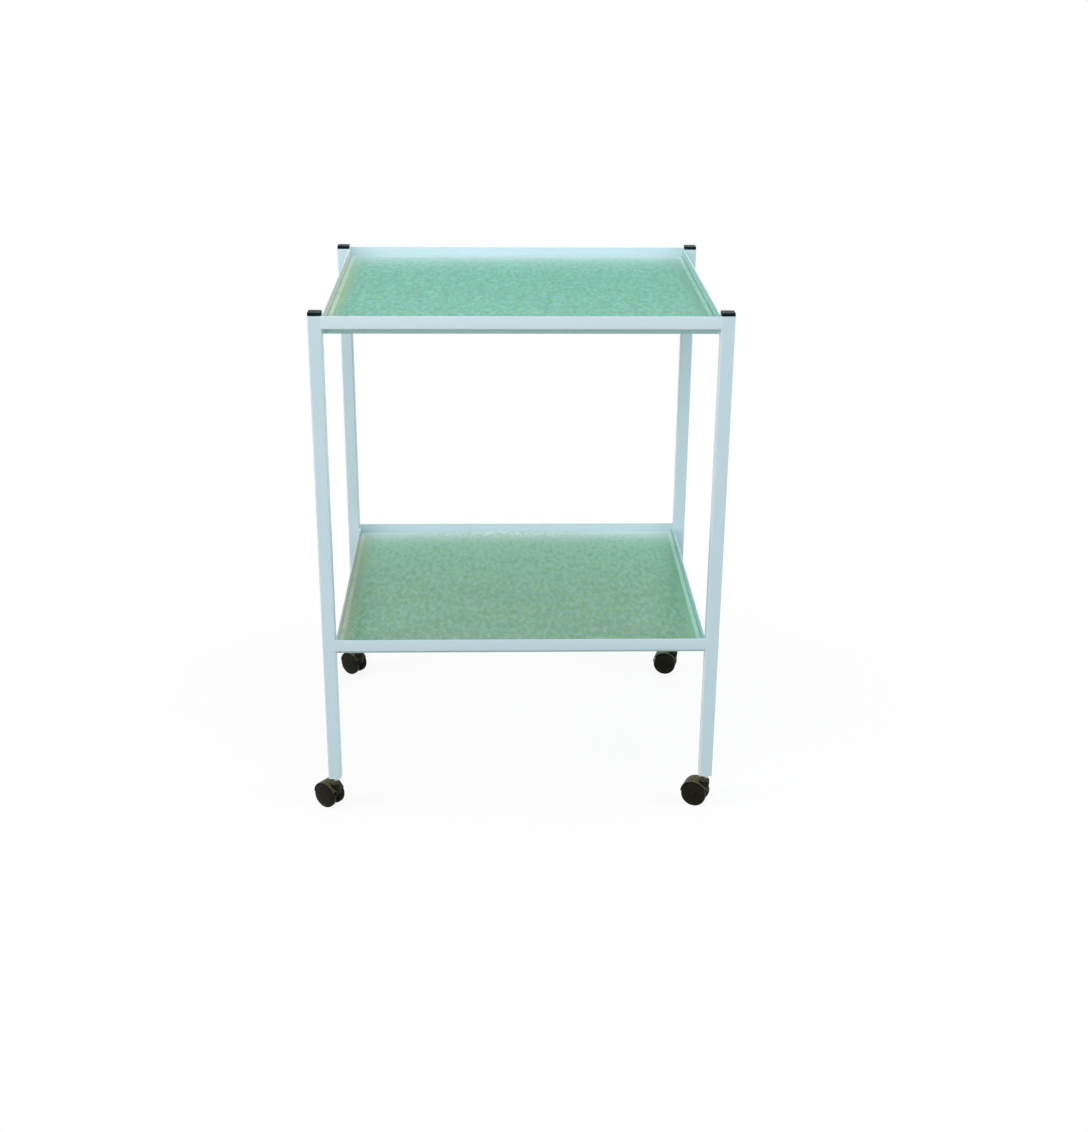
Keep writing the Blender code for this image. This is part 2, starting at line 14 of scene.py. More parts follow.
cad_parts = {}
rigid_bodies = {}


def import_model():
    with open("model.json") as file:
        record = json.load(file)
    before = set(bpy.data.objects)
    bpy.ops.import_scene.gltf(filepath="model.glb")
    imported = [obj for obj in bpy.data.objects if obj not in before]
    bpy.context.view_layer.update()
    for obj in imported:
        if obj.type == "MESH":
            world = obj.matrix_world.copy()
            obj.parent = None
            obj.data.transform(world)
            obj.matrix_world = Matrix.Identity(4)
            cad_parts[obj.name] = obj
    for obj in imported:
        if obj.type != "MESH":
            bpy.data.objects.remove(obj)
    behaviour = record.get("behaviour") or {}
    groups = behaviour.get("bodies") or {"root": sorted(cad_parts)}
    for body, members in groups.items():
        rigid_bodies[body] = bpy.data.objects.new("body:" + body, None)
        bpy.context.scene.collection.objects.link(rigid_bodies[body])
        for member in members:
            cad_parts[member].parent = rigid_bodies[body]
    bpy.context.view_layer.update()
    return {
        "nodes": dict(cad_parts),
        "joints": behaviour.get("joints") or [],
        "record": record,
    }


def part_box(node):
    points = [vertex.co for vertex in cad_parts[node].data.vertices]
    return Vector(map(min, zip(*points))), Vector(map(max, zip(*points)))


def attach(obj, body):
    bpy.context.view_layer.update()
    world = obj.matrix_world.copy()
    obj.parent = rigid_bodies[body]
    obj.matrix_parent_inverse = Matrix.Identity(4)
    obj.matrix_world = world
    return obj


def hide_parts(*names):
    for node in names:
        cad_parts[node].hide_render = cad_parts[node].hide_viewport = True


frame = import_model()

CORNERS = ("front_left", "front_right", "rear_left", "rear_right")
LEVELS = ("upper", "lower")
SIDES = ("front", "right", "rear", "left")

# Edges flatter than this many degrees are shaded smooth
SMOOTH_DEGREES = 35

# Sheet of the tray frames
SHEET = 0.0015
UPSTAND_HEIGHT = 0.019
LEDGE_WIDTH = 0.0205
LIP_DROP = 0.0105
BEND_RADIUS = 0.0006
SHEET_EDGE_ROUND = 0.0005
TUBE_CORNER_RADIUS = 0.0022
CUTTER_MARGIN = 0.01

# Weld beads: their size, the rings and sides they are made of, and their ripple
WELD_RADIUS = 0.0019
BEAD_STEP = 0.00035
BEAD_SIDES = 14
BEAD_RIPPLE_PITCH = 0.0014
BEAD_RIPPLE = 0.07
BEAD_WOBBLE = 0.05
BEAD_WOBBLE_SHARE = 0.2
BEAD_SEED = 40
BEAD_SETBACK = 0.0012
BEAD_LIP_SETBACK = 0.0008
BEAD_OVERLAP = 0.001

# How much painted highlight, as a paler paint, each long rail's faces toward the front take, and how squarely
# a face looks to the front or to the side to count as doing so
PAINTED_HIGHLIGHT_SHARE = {("upper", "front"): 1.0, ("upper", "rear"): 0.1, ("lower", "front"): 0.0, ("lower", "rear"): 0.6}
FRONT_FACING = 0.3
SIDE_FACING = 0.7

# Floor: half its side, how light it is where it lights the trolley, and how much of what is seen of it near
# the trolley is plain white, which grows to all of it between two distances
FLOOR_HALF = 30
FLOOR_LIGHTNESS = 0.60
FLOOR_VEIL = 0.88
FLOOR_VEIL_START = 0.45
FLOOR_VEIL_END = 1.1

# Lamps: name, place, target, side, power and colour; and the strength of the light from all round
LAMPS = (
    ("key", (-0.9, -4.2, 2.3), (0, 0, 0.75), 2.2, 56, (1, 1, 1)),
    ("top", (0.4, -0.6, 2.9), (0, 0.1, 0.6), 1.8, 17, (1, 1, 1)),
    ("left", (-3.2, -1.0, 1.8), (0, 0, 0.5), 2.0, 82, (1.0, 0.95, 0.92)),
    ("right", (3.2, -1.0, 1.8), (0, 0, 0.5), 2.0, 56, (0.84, 0.98, 1.0)),
    ("back", (0.3, 2.6, 2.6), (0, 0, 0.6), 2.0, 30, (1, 1, 1)),
)
ROUND_LIGHT = 0.20

# Camera: place, turn from +Y, tilt and roll in degrees, sensor and lens in millimetres
CAMERA_PLACE = (-0.026269, -2.495701, 1.3181)
CAMERA_TURNS = (1.8496, -22.0385, 0.4897)
CAMERA_SENSOR = 36
CAMERA_LENS = 51.763

# Pattern pressed in the glass: the pebbles' spacing and depth, and how far each is off its place and
# how soon it rises, as shares of the spacing
PEBBLE_PITCH = 0.0090
PEBBLE_SHIFT = 0.27
PEBBLE_RISE = 0.55
PEBBLE_DEPTH = 0.00045
GLASS_GRID = 0.0021
GLASS_CORNER_RADIUS = 0.004
GLASS_ARRIS = 0.0006
PANE_SEED = 7

# Room between a pane and the rails round it, the smooth rim of its pattern, the width of the painted bright
# line along its side edges, and how soft that line's and the painted ledge light's edges are
PANE_ROOM = 0.00025
PANE_SMOOTH_RIM = 0.003
PAINTED_EDGE_LINE = 0.0072
PAINTED_EDGE_LINE_BLUR = 0.0015
LEDGE_BLUR = 0.012

# The painted reflection of the rear rail in a strip along it, how far it fades out, how far the painted light
# of the rear part reaches, and the painted glints by the rear rail: their strength, middle, spread from side
# to side and reach from the rail
PAINTED_REFLECTION_STRIP = 0.011
PAINTED_REFLECTION_FADE = {"upper": 0.042, "lower": 0.024}
PAINTED_REAR_LIGHT_REACH = 0.30
PAINTED_GLINT_STRENGTH = {"upper": 0.2, "lower": 1.0}
GLINT_MIDDLE = -0.02
GLINT_SPREAD = 0.13
GLINT_REACH = 0.030
GLINT_BLUR = 0.010

# Leg cap
CAP_GAP = 0.0003
CAP_PLUG_SIDE = 0.0125
CAP_PLUG_CORNER = 0.0010
CAP_BEND = 0.0011
CAP_CROWN = 0.0002
CAP_CROWN_STEPS = ((0.75, 0.55), (0.45, 0.9), (0.15, 1.0))

# Castor
AXLE_LEVEL = 0.019829
WHEEL_OUTER_FACE = 0.0150
WHEEL_INNER_FACE = 0.0060
WHEEL_RIM_ROUND = 0.0027
WHEEL_RIM_INSIDE = 0.0170
WHEEL_DISC_INSIDE = 0.0108
WHEEL_HUB_RADIUS = 0.0050
WHEEL_BORE_RADIUS = 0.0028
WHEEL_BORE_DEPTH = 0.0022
WHEEL_INNER_CHAMFER = 0.0007
WHEEL_CROWN = 0.0008

# A wheel's outer face inside its rim, as radius and depth below the hub: a groove, the crowned disc, a groove
# round the hub cap, and the cap
WHEEL_FACE = (
    (0.0168, 0.00078), (0.0163, 0.0011), (0.0158, 0.0011), (0.0153, 0.00068),
    (0.0120, 0.00042), (0.0085, 0.00022), (0.0058, 0.00014),
    (0.0054, 0.0007), (0.0050, 0.0007), (0.0046, 0.00012), (0.0030, 0.00003),
)

# Castor body and stem; the hood starts behind the wheels and its rear tip is thinned
TRAIL = 0.0140
HOOD_INNER_RADIUS = 0.0208
HOOD_OUTER_RADIUS = 0.0224
HOOD_HALF = 0.0128
HOOD_JOIN_DEPTH = 0.0006
HOOD_EDGE_ROUND = 0.0010
HOOD_TIP_THINNING = 0.0010
HOOD_START = math.radians(4)
HOOD_END = math.radians(150)
WEB_START = math.radians(34)
BOSS_TOP = 0.047429
BOSS_RADIUS = 0.0080
BOSS_TOP_RADIUS = 0.0058
BOSS_SHOULDER = 0.0040
BOSS_STRAIGHT_HEIGHT = 0.0090
BOSS_FOOT_RADIUS = 0.0062
STEM_RADIUS = 0.0040
STEM_SHOULDER_RADIUS = 0.0083
STEM_SHOULDER_FOOT_RADIUS = 0.0054
STEM_SHOULDER_RIM = 0.0012
STEM_BORE_RADIUS = 0.0043
STEM_FOOT = 0.0244
WEB_HALF = 0.0057
WEB_WALL = 0.0014
WEB_FRONT_FOOT = 0.023129
AXLE_EYE_RADIUS = 0.0060
AXLE_EYE_START = math.radians(-115)
AXLE_BORE_RADIUS = 0.0028
EDGE_EASE = 0.0006
SEAT_GAP = 0.0003
TURN_STEPS = 72
BORE_STEPS = 48
HOOD_STEPS = 36
WHEEL_RADIUS = AXLE_LEVEL / math.cos(math.pi / TURN_STEPS)


# Mesh helpers
def ring_mesh(rings, name, smooth=SMOOTH_DEGREES):
    """Solid through rings of equal length, capped at both ends."""
    bm = bmesh.new()
    layers = [[bm.verts.new(point) for point in ring] for ring in rings]
    for near, far in zip(layers, layers[1:]):
        for i, corner in enumerate(near):
            j = (i + 1) % len(near)
            bm.faces.new((corner, near[j], far[j], far[i]))
    bm.faces.new(list(reversed(layers[0])))
    bm.faces.new(layers[-1])
    return finished(bm, name, smooth)


def finished(bm, name, smooth=SMOOTH_DEGREES):
    """Mesh of a bmesh, with its faces turned outward and its flatter edges shaded smooth."""
    bmesh.ops.recalc_face_normals(bm, faces=bm.faces)
    mesh = bpy.data.meshes.new(name)
    bm.to_mesh(mesh)
    bm.free()
    mesh.shade_smooth()
    mesh.set_sharp_from_angle(angle=math.radians(smooth))
    return mesh


def arc(center, radius, start, end, steps):
    """Points of an arc in a plane, both ends included."""
    angles = [start + (end - start) * i / steps for i in range(steps + 1)]
    return [(center[0] + radius * math.cos(a), center[1] + radius * math.sin(a)) for a in angles]


def rounded_rectangle(width, depth, radius, steps):
    """Outline of a rectangle with rounded corners about the origin."""
    points = []
    for quarter, (sx, sy) in enumerate(((1, 1), (-1, 1), (-1, -1), (1, -1))):
        center = (sx * (width / 2 - radius), sy * (depth / 2 - radius))
        start = quarter * math.pi / 2
        points += arc(center, radius, start, start + math.pi / 2, steps)
    return points


def turned(profile, steps=TURN_STEPS):
    """Rings of a profile of (radius, height) turned about Z."""
    angles = [2 * math.pi * (i + 0.5) / steps - math.pi / 2 for i in range(steps)]
    return [[(r * math.cos(a), r * math.sin(a), z) for a in angles] for r, z in profile]


def along_y(rings, center=(0, 0)):
    """Turn rings about Z into rings about a line along Y."""
    return [[(center[0] + x, along, center[1] + y) for x, y, along in ring] for ring in rings]


def combine(base, steps, name):
    """Union and difference steps on a mesh, in order."""
    collection = bpy.context.scene.collection.objects
    target = bpy.data.objects.new(name, base)
    collection.link(target)
    helpers = []
    for operation, mesh in steps:
        helper = bpy.data.objects.new(f"{name}_{len(helpers)}", mesh)
        collection.link(helper)
        helpers.append(helper)
        modifier = target.modifiers.new(operation, "BOOLEAN")
        modifier.operation = operation
        modifier.solver = "EXACT"
        modifier.object = helper
    bpy.context.view_layer.update()
    graph = bpy.context.evaluated_depsgraph_get()
    mesh = bpy.data.meshes.new_from_object(target.evaluated_get(graph))
    mesh.name = name
    for obj in [target, *helpers]:
        bpy.data.objects.remove(obj, do_unlink=True)
    mesh.shade_smooth()
    mesh.set_sharp_from_angle(angle=math.radians(SMOOTH_DEGREES))
    return mesh


def add_piece(name, mesh, material, body, nodes=()):
    """Put a mesh in the scene as a piece that rides on a body and stands for its CAD nodes."""
    obj = bpy.data.objects.new(name, mesh)
    bpy.context.scene.collection.objects.link(obj)
    mesh.materials.clear()
    mesh.materials.append(material)
    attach(obj, body)
    if nodes:
        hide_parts(*nodes)


# Node helpers
class Nodes:
    """Short way to write a material's node tree."""

    def __init__(self, name):
        self.material = bpy.data.materials.new(name)
        self.material.use_nodes = True
        self.tree = self.material.node_tree
        self.shader = self.tree.nodes["Principled BSDF"]

    def add(self, kind, inputs=None, **settings):
        node = self.tree.nodes.new(kind)
        for key, value in settings.items():
            setattr(node, key, value)
        for key, value in (inputs or {}).items():
            self.feed(node.inputs[key], value)
        return node

    def feed(self, socket, value):
        if isinstance(value, bpy.types.NodeSocket):
            self.tree.links.new(value, socket)
        else:
            socket.default_value = value

    def set(self, **values):
        for key, value in values.items():
            self.feed(self.shader.inputs[key.replace("_", " ")], value)

    def position(self):
        return self.add("ShaderNodeTexCoord").outputs["Object"]

    def noise(self, scale, detail=2.0, roughness=0.5, grain=(1, 1, 1)):
        place = self.add("ShaderNodeVectorMath", {0: self.position(), 1: grain}, operation="MULTIPLY")
        node = self.add(
            "ShaderNodeTexNoise",
            {
                "Vector": place.outputs["Vector"],
                "Scale": scale,
                "Detail": detail,
                "Roughness": roughness,
            },
        )
        return node.outputs["Fac"]

    def remap(self, value, low, high, to_low, to_high):
        node = self.add(
            "ShaderNodeMapRange",
            {"Value": value, "From Min": low, "From Max": high, "To Min": to_low, "To Max": to_high},
        )
        return node.outputs["Result"]

    def mix(self, share, first, second):
        node = self.add("ShaderNodeMix", data_type="RGBA", clamp_factor=True)
        self.feed(node.inputs["Factor"], share)
        self.feed(node.inputs[6], first)
        self.feed(node.inputs[7], second)
        return node.outputs[2]

    def math(self, operation, first, second=0.0):
        node = self.add("ShaderNodeMath", operation=operation)
        self.feed(node.inputs[0], first)
        self.feed(node.inputs[1], second)
        return node.outputs[0]

    def attribute(self, name):
        return self.add("ShaderNodeAttribute", attribute_name=name).outputs["Fac"]

    def bump(self, height, distance, strength):
        inputs = {"Height": height, "Distance": distance, "Strength": strength}
        return self.add("ShaderNodeBump", inputs).outputs["Normal"]


def linear(red, green, blue):
    """An sRGB colour of 0 to 255 as a linear RGBA value."""
    values = [v / 255 for v in (red, green, blue)]
    return (*[v / 12.92 if v <= 0.04045 else ((v + 0.055) / 1.055) ** 2.4 for v in values], 1.0)


def frame_paint():
    """Pale blue-white powder coat: faint cloudiness, orange peel and a fine dust of darker grains; on the
    trays a painted highlight and the glass's painted light and shade.
    """
    n = Nodes("frame_paint")
    cloud = n.remap(n.noise(9, 3), 0.3, 0.7, 0.0, 1.0)
    color = n.mix(cloud, linear(199, 221, 231), linear(204, 224, 233))
    drift = n.remap(n.noise(2.6, 1), 0.35, 0.65, 0.0, 0.35)
    color = n.mix(drift, color, linear(192, 220, 224))
    grain = n.remap(n.noise(1400, 2), 0.62, 0.75, 0.0, 0.10)
    color = n.mix(grain, color, linear(160, 176, 186))
    # Painted highlight: the long rails' faces and bends toward the front are paler
    color = n.mix(n.attribute("pale"), color, linear(208, 227, 236))
    # Painted light from the green glass: a painted reflection and shade on the side rails' inner faces,
    # beige-grey at the left and a darker green-grey at the right, and a painted green-grey shade on the lips
    painted_glass_light = n.mix(n.attribute("side"), linear(206, 206, 198), linear(158, 200, 197))
    color = n.mix(n.attribute("cast"), color, painted_glass_light)
    color = n.mix(n.attribute("lip"), color, linear(171, 208, 203))
    peel = n.noise(520, 2, 0.45)
    n.set(
        Base_Color=color,
        Roughness=n.remap(n.noise(60, 3), 0.3, 0.7, 0.34, 0.44),
        Normal=n.bump(peel, 0.00006, 0.6),
        IOR=1.5,
    )
    n.set(Coat_Weight=0.15, Coat_Roughness=0.22)
    return n.material


def patterned_glass(name, tints, blotches, over_ledge, border, over_rear):
    """Green pressed glass: each pebble has its own tint, paler in the valleys, and light is painted over the
    pattern.

    tints are a yellowish green, a bluish green, a patchy drift, a greyer drift, the valleys' pale tint and
    the painted light of the rear part, which fades towards the front;
    blotches are the darker and the paler streaks of the rolling;
    over_ledge holds the painted light of the white ledge seen through the glass and border the painted bright
    line along the side edges, each at the left and at the right side, and over_rear the painted reflection of
    the rear rail.
    """
    n = Nodes(name)
    ledge, across, behind, edge, glint, far = (
        n.attribute(key) for key in ("ledge", "across", "behind", "edge", "glint", "far")
    )
    color = n.mix(n.remap(n.attribute("cell"), 0.1, 0.9, 0.0, 1.0), tints[0], tints[1])
    color = n.mix(n.remap(n.noise(14, 2), 0.35, 0.65, 0.0, 0.5), color, tints[2])
    color = n.mix(n.remap(n.noise(75, 3, 0.7), 0.42, 0.68, 0.0, 0.6), color, tints[3])
    color = n.mix(n.remap(n.attribute("relief"), 0.0, 0.55, 0.5, 0.0), color, tints[4])
    # Painted light of the rear part, fading towards the front
    color = n.mix(n.math("MULTIPLY", far, 0.6), color, tints[5])
    blotch = n.noise(150, 3, 0.65, grain=(1, 0.4, 1))
    color = n.mix(n.remap(blotch, 0.34, 0.50, 0.6, 0.0), color, blotches[0])
    color = n.mix(n.remap(blotch, 0.50, 0.66, 0.0, 0.6), color, blotches[1])
    # Painted light of the white ledge seen through the glass, then a painted bright line along the side edges
    sides = n.mix(across, *over_ledge)
    color = n.mix(n.math("MULTIPLY", ledge, n.remap(n.noise(130, 2), 0.3, 0.7, 0.55, 0.95)), color, sides)
    painted_edge_tint = n.mix(across, *border)
    color = n.mix(n.math("MULTIPLY", edge, n.remap(n.noise(60, 3), 0.3, 0.7, 0.60, 1.0)), color, painted_edge_tint)
    # Painted reflection of the rear rail in a strip along it, a little dimmer where the painted white glints
    # by the rail are
    behind = n.math("MULTIPLY", behind, n.remap(glint, 0.0, 1.0, 1.0, 0.8))
    color = n.mix(n.math("MULTIPLY", behind, n.remap(n.noise(60, 3), 0.3, 0.7, 0.95, 1.0)), color, over_rear)
    painted_sparkle = n.math("MULTIPLY", glint, n.remap(n.noise(170, 2, 0.6), 0.52, 0.57, 0.0, 1.0))
    color = n.mix(painted_sparkle, color, linear(255, 255, 255))
    n.set(
        Base_Color=color,
        Roughness=n.remap(n.noise(240, 2), 0.3, 0.7, 0.12, 0.22),
        Normal=n.bump(n.noise(420, 2), 0.00008, 0.5),
        Transmission_Weight=0.25,
        Specular_IOR_Level=0.02,
        IOR=1.52,
    )
    return n.material


def moulded_plastic(name, dark, light, roughness, specular, gloss_tint, top_highlight=0.0):
    """Black moulded plastic: a fine spark-eroded grain, rubbed a little smoother in patches.

    settled is the share of a pale olive painted highlight that its upward faces take.
    """
    n = Nodes(name)
    patch = n.remap(n.noise(160, 3), 0.35, 0.7, 0.0, 1.0)
    color = n.mix(patch, dark, light)
    dust = n.remap(n.noise(1900, 2), 0.60, 0.78, 0.0, 0.22)
    color = n.mix(dust, color, linear(60, 60, 54))
    # Painted highlight: faces that look up turn a pale olive
    if top_highlight:
        normal = n.add("ShaderNodeNewGeometry").outputs["Normal"]
        upward = n.add("ShaderNodeSeparateXYZ", {0: normal}).outputs["Z"]
        level_faces = n.remap(upward, 0.15, 0.95, 0.0, top_highlight)
        painted_top_light = n.math("MULTIPLY", level_faces, n.remap(n.noise(210, 3, 0.6), 0.3, 0.7, 0.5, 1.0))
        color = n.mix(painted_top_light, color, linear(122, 122, 88))
    n.set(
        Base_Color=color,
        Roughness=n.remap(n.noise(110, 2), 0.3, 0.7, roughness - 0.06, roughness + 0.06),
        Normal=n.bump(n.noise(2400, 2, 0.6), 0.00005, 0.7),
        Specular_IOR_Level=specular,
        Specular_Tint=gloss_tint,
    )
    return n.material


def bright_steel():
    """Bright zinc plate: a faint bluish and straw cast and fine turning marks."""
    n = Nodes("bright_steel")
    cast = n.remap(n.noise(90, 3), 0.3, 0.7, 0.0, 1.0)
    color = n.mix(cast, linear(206, 208, 212), linear(214, 209, 198))
    rings = n.add(
        "ShaderNodeTexWave",
        {"Vector": n.position(), "Scale": 900.0, "Distortion": 1.5},
        bands_direction="Z",
    )
    n.set(
        Base_Color=color,
        Metallic=1.0,
        Roughness=n.remap(n.noise(300, 2), 0.3, 0.7, 0.22, 0.36),
        Normal=n.bump(rings.outputs["Fac"], 0.00002, 0.4),
    )
    return n.material


# Tray frames
def strip_outline(path, thickness, inner_radius, edge, steps=6):
    """Outline of a folded strip of sheet with rounded bends and rounded sheet edges."""
    half = thickness / 2
    middle = inner_radius + half
    sides = {1: [], -1: []}
    points = [Vector(point) for point in path]
    for i, point in enumerate(points):
        inward = (point - points[i - 1]).normalized() if i else None
        onward = (points[i + 1] - point).normalized() if i + 1 < len(points) else None
        if inward is None or onward is None:
            along = onward or inward
            normal = Vector((-along.y, along.x))
            outward = -along if i == 0 else along
            for side, line in sides.items():
                center = point - edge * outward + side * (half - edge) * normal
                turn = [
                    center + edge * (math.cos(a) * side * normal + math.sin(a) * outward)
                    for a in (math.radians(v) for v in (0, 22.5, 45, 67.5, 90))
                ]
                line += reversed(turn) if i == 0 else turn
            continue
        turn = 1 if inward.cross(onward) > 0 else -1
        center = point - middle * inward + middle * onward
        for side, line in sides.items():
            radius = middle - side * turn * half
            for k in range(steps + 1):
                spoke = Matrix.Rotation(turn * (math.pi / 2) * k / steps, 2) @ (-onward)
                line.append(center + radius * spoke)
    return [tuple(p) for p in sides[1]] + [tuple(p) for p in reversed(sides[-1])]


def rail_path():
    """Middle line of a rail's sheet from the top of its upstand to the foot of its lip."""
    half = SHEET / 2
    ledge = -UPSTAND_HEIGHT + half
    return [
        (half, 0.0),
        (half, ledge),
        (LEDGE_WIDTH - half, ledge),
        (LEDGE_WIDTH - half, -UPSTAND_HEIGHT - LIP_DROP),
    ]


def rail_solid(length, name):
    """A straight rail along X."""
    outline = strip_outline(rail_path(), SHEET, BEND_RADIUS, SHEET_EDGE_ROUND)
    ends = (-length / 2, length / 2)
    return ring_mesh([[(x, inward, z) for inward, z in outline] for x in ends], name)


def coped_rail(length, name):
    """A side rail cut at both ends along the middle of the long rails' sheet, ready to be joined to them."""
    cuts = []
    path = rail_path()
    for side in (-1, 1):
        line = [(path[0][0], SHEET), *path[1:-1], (path[-1][0], path[-1][1] - SHEET)]
        outline = [(-CUTTER_MARGIN, SHEET), *line, (-CUTTER_MARGIN, path[-1][1] - SHEET)]
        near = [(side * (length / 2 - inward), -CUTTER_MARGIN, z) for inward, z in outline]
        far = [(x, LEDGE_WIDTH + CUTTER_MARGIN, z) for x, y, z in near]
        cuts.append(("DIFFERENCE", ring_mesh([near, far], "cope")))
    return combine(rail_solid(length, name), cuts, name)


def placed(mesh, x, y, z, turn):
    """A copy of a mesh, turned about Z and moved."""
    mesh = mesh.copy()
    mesh.transform(Matrix.Translation((x, y, z)) @ Matrix.Rotation(turn, 4, "Z"))
    return mesh


def tray_box(level):
    """Outer corners of a tray at rest, from its four rails."""
    lows, highs = zip(*(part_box(f"{level}_{side}_rail") for side in SIDES))
    low = Vector([min(v[i] for v in lows) for i in range(3)])
    high = Vector([max(v[i] for v in highs) for i in range(3)])
    return low, high


def tray_frame_mesh(level):
    """The four rails of a tray as one welded and painted frame."""
    low, high = tray_box(level)
    x, y = (low.x + high.x) / 2, (low.y + high.y) / 2
    width, depth = high.x - low.x, high.y - low.y
    long_rail = rail_solid(width + 2 * TUBE_CORNER_RADIUS, "long_rail")
    side_rail = coped_rail(depth, "side_rail")
    front = placed(long_rail, x, low.y, high.z, 0)
    others = [
        placed(long_rail, x, high.y, high.z, math.pi),
        placed(side_rail, high.x, y, high.z, math.pi / 2),
        placed(side_rail, low.x, y, high.z, -math.pi / 2),
    ]
    mesh = combine(front, [("UNION", mesh) for mesh in others], f"{level}_tray_frame")
    mark_painted_light(mesh, low, high, level)
    return mesh


def mark_painted_light(mesh, low, high, level):
    """Mark where light is painted: the glass's green light and shade on the side rails' inner faces and on
    the lips, and a painted highlight on the long rails' faces and bends toward the front.
    """
    marks = {key: mesh.attributes.new(key, "FLOAT", "FACE") for key in ("cast", "side", "lip", "pale")}
    middle = (low + high) / 2
    for face in mesh.polygons:
        inward = -face.normal.x if face.center.x > middle.x else face.normal.x
        above_ledge = face.center.z > high.z - UPSTAND_HEIGHT + SHEET
        lip = face.center.z < high.z - UPSTAND_HEIGHT - SHEET
        toward_front = face.normal.y < -FRONT_FACING and not lip
        # Painted highlight on the long rails' faces toward the front
        highlight_share = PAINTED_HIGHLIGHT_SHARE[level, "rear" if face.center.y > middle.y else "front"] if toward_front else 0
        values = (above_ledge and inward > SIDE_FACING, face.center.x > middle.x, lip, highlight_share)
        for mark, value in zip(marks.values(), values):
            mark.data[face.index].value = float(value)


def bead_mesh(start, end, radius, name, seed):
    """A weld bead: a rippled round body along a line, closed by domes."""
    rng = np.random.default_rng(seed)
    start, end = Vector(start), Vector(end)
    length = (end - start).length
    along = (end - start).normalized()
    across = along.orthogonal().normalized()
    upward = along.cross(across)
    count = max(8, int(length / BEAD_STEP))
    wobble = rng.normal(0, BEAD_WOBBLE, count + 1)
    rings = []
    for i in range(count + 1):
        t = i / count
        from_end = min(t, 1 - t) * length
        dome = math.sqrt(max(0.0, 1 - (1 - min(1.0, from_end / radius)) ** 2))
        wave = math.cos(2 * math.pi * t * length / BEAD_RIPPLE_PITCH)
        ripple = 1 + BEAD_RIPPLE * wave + BEAD_WOBBLE_SHARE * wobble[i]
        size = float(radius * max(0.15, dome) * ripple)
        center = start + along * (t * length)
        rings.append([
            center + size * (math.cos(a) * across + math.sin(a) * upward)
            for a in (2 * math.pi * k / BEAD_SIDES for k in range(BEAD_SIDES))
        ])
    return ring_mesh(rings, name, smooth=70)


def weld_lines(level):
    """Where a tray's beads run at each leg: under the ledge, down the side rail and along the lip."""
    low, high = tray_box(level)
    foot = high.z - UPSTAND_HEIGHT
    lines = []
    for corner in CORNERS:
        leg_low, leg_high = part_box(f"{corner}_leg")
        left = "left" in corner
        front = "front" in corner
        face_x = leg_high.x if left else leg_low.x
        into_tray = 1 if left else -1
        back_y = leg_high.y if front else leg_low.y
        lip_y = low.y + LEDGE_WIDTH if front else high.y - LEDGE_WIDTH
        outer_y = low.y if front else high.y
        inward = 1 if front else -1
        outer_end = outer_y + inward * TUBE_CORNER_RADIUS
        lines.append(((face_x, outer_end, foot), (face_x, back_y - inward * BEAD_SETBACK, foot)))
        lines.append(((face_x, back_y, foot + BEAD_OVERLAP), (face_x, back_y, high.z - BEAD_SETBACK)))
        lip_foot = foot - LIP_DROP + BEAD_LIP_SETBACK
        behind_lip = lip_y - inward * SHEET
        lines.append(((face_x, behind_lip, foot - BEAD_OVERLAP), (face_x, behind_lip, lip_foot)))
    return lines


def tray_welds_mesh(level):
    """All the weld beads of a tray as one mesh."""
    bm = bmesh.new()
    for i, (start, end) in enumerate(weld_lines(level)):
        mesh = bead_mesh(start, end, WELD_RADIUS, "bead", seed=BEAD_SEED + i)
        bm.from_mesh(mesh)
        bpy.data.meshes.remove(mesh)
    return finished(bm, f"{level}_tray_welds", smooth=70)


# Glass
def pebbles(xs, ys, seed):
    """Height from 0 to 1 and a number of its own for each pebble, at points of a pane."""
    rng = np.random.default_rng(seed)
    pitch = PEBBLE_PITCH
    row_pitch = pitch * math.sqrt(3) / 2
    columns = int(np.ptp(xs) / pitch) + 6
    rows = int(np.ptp(ys) / row_pitch) + 6
    shift = rng.uniform(-PEBBLE_SHIFT, PEBBLE_SHIFT, (rows, columns, 2)) * pitch
    tint = rng.uniform(0, 1, (rows, columns))
    row_of = np.floor((ys - ys.min()) / row_pitch).astype(int) + 2
    col_of = np.floor((xs - xs.min()) / pitch).astype(int) + 2
    best = np.full(xs.shape, 1e9)
    second = np.full(xs.shape, 1e9)
    number = np.zeros(xs.shape)
    for dr in (-2, -1, 0, 1, 2):
        for dc in (-2, -1, 0, 1, 2):
            r, c = row_of + dr, col_of + dc
            r = np.clip(r, 0, rows - 1)
            c = np.clip(c, 0, columns - 1)
            px = xs.min() + (c - 2 + 0.5 * (r % 2)) * pitch + shift[r, c, 0]
            py = ys.min() + (r - 2) * row_pitch + shift[r, c, 1]
            gap = np.hypot(xs - px, ys - py)
            nearer = gap < best
            second = np.where(nearer, best, np.minimum(second, gap))
            number = np.where(nearer, tint[r, c], number)
            best = np.where(nearer, gap, best)
    rise = np.clip((second - best) / (PEBBLE_RISE * pitch), 0, 1)
    return rise * rise * (3 - 2 * rise), number


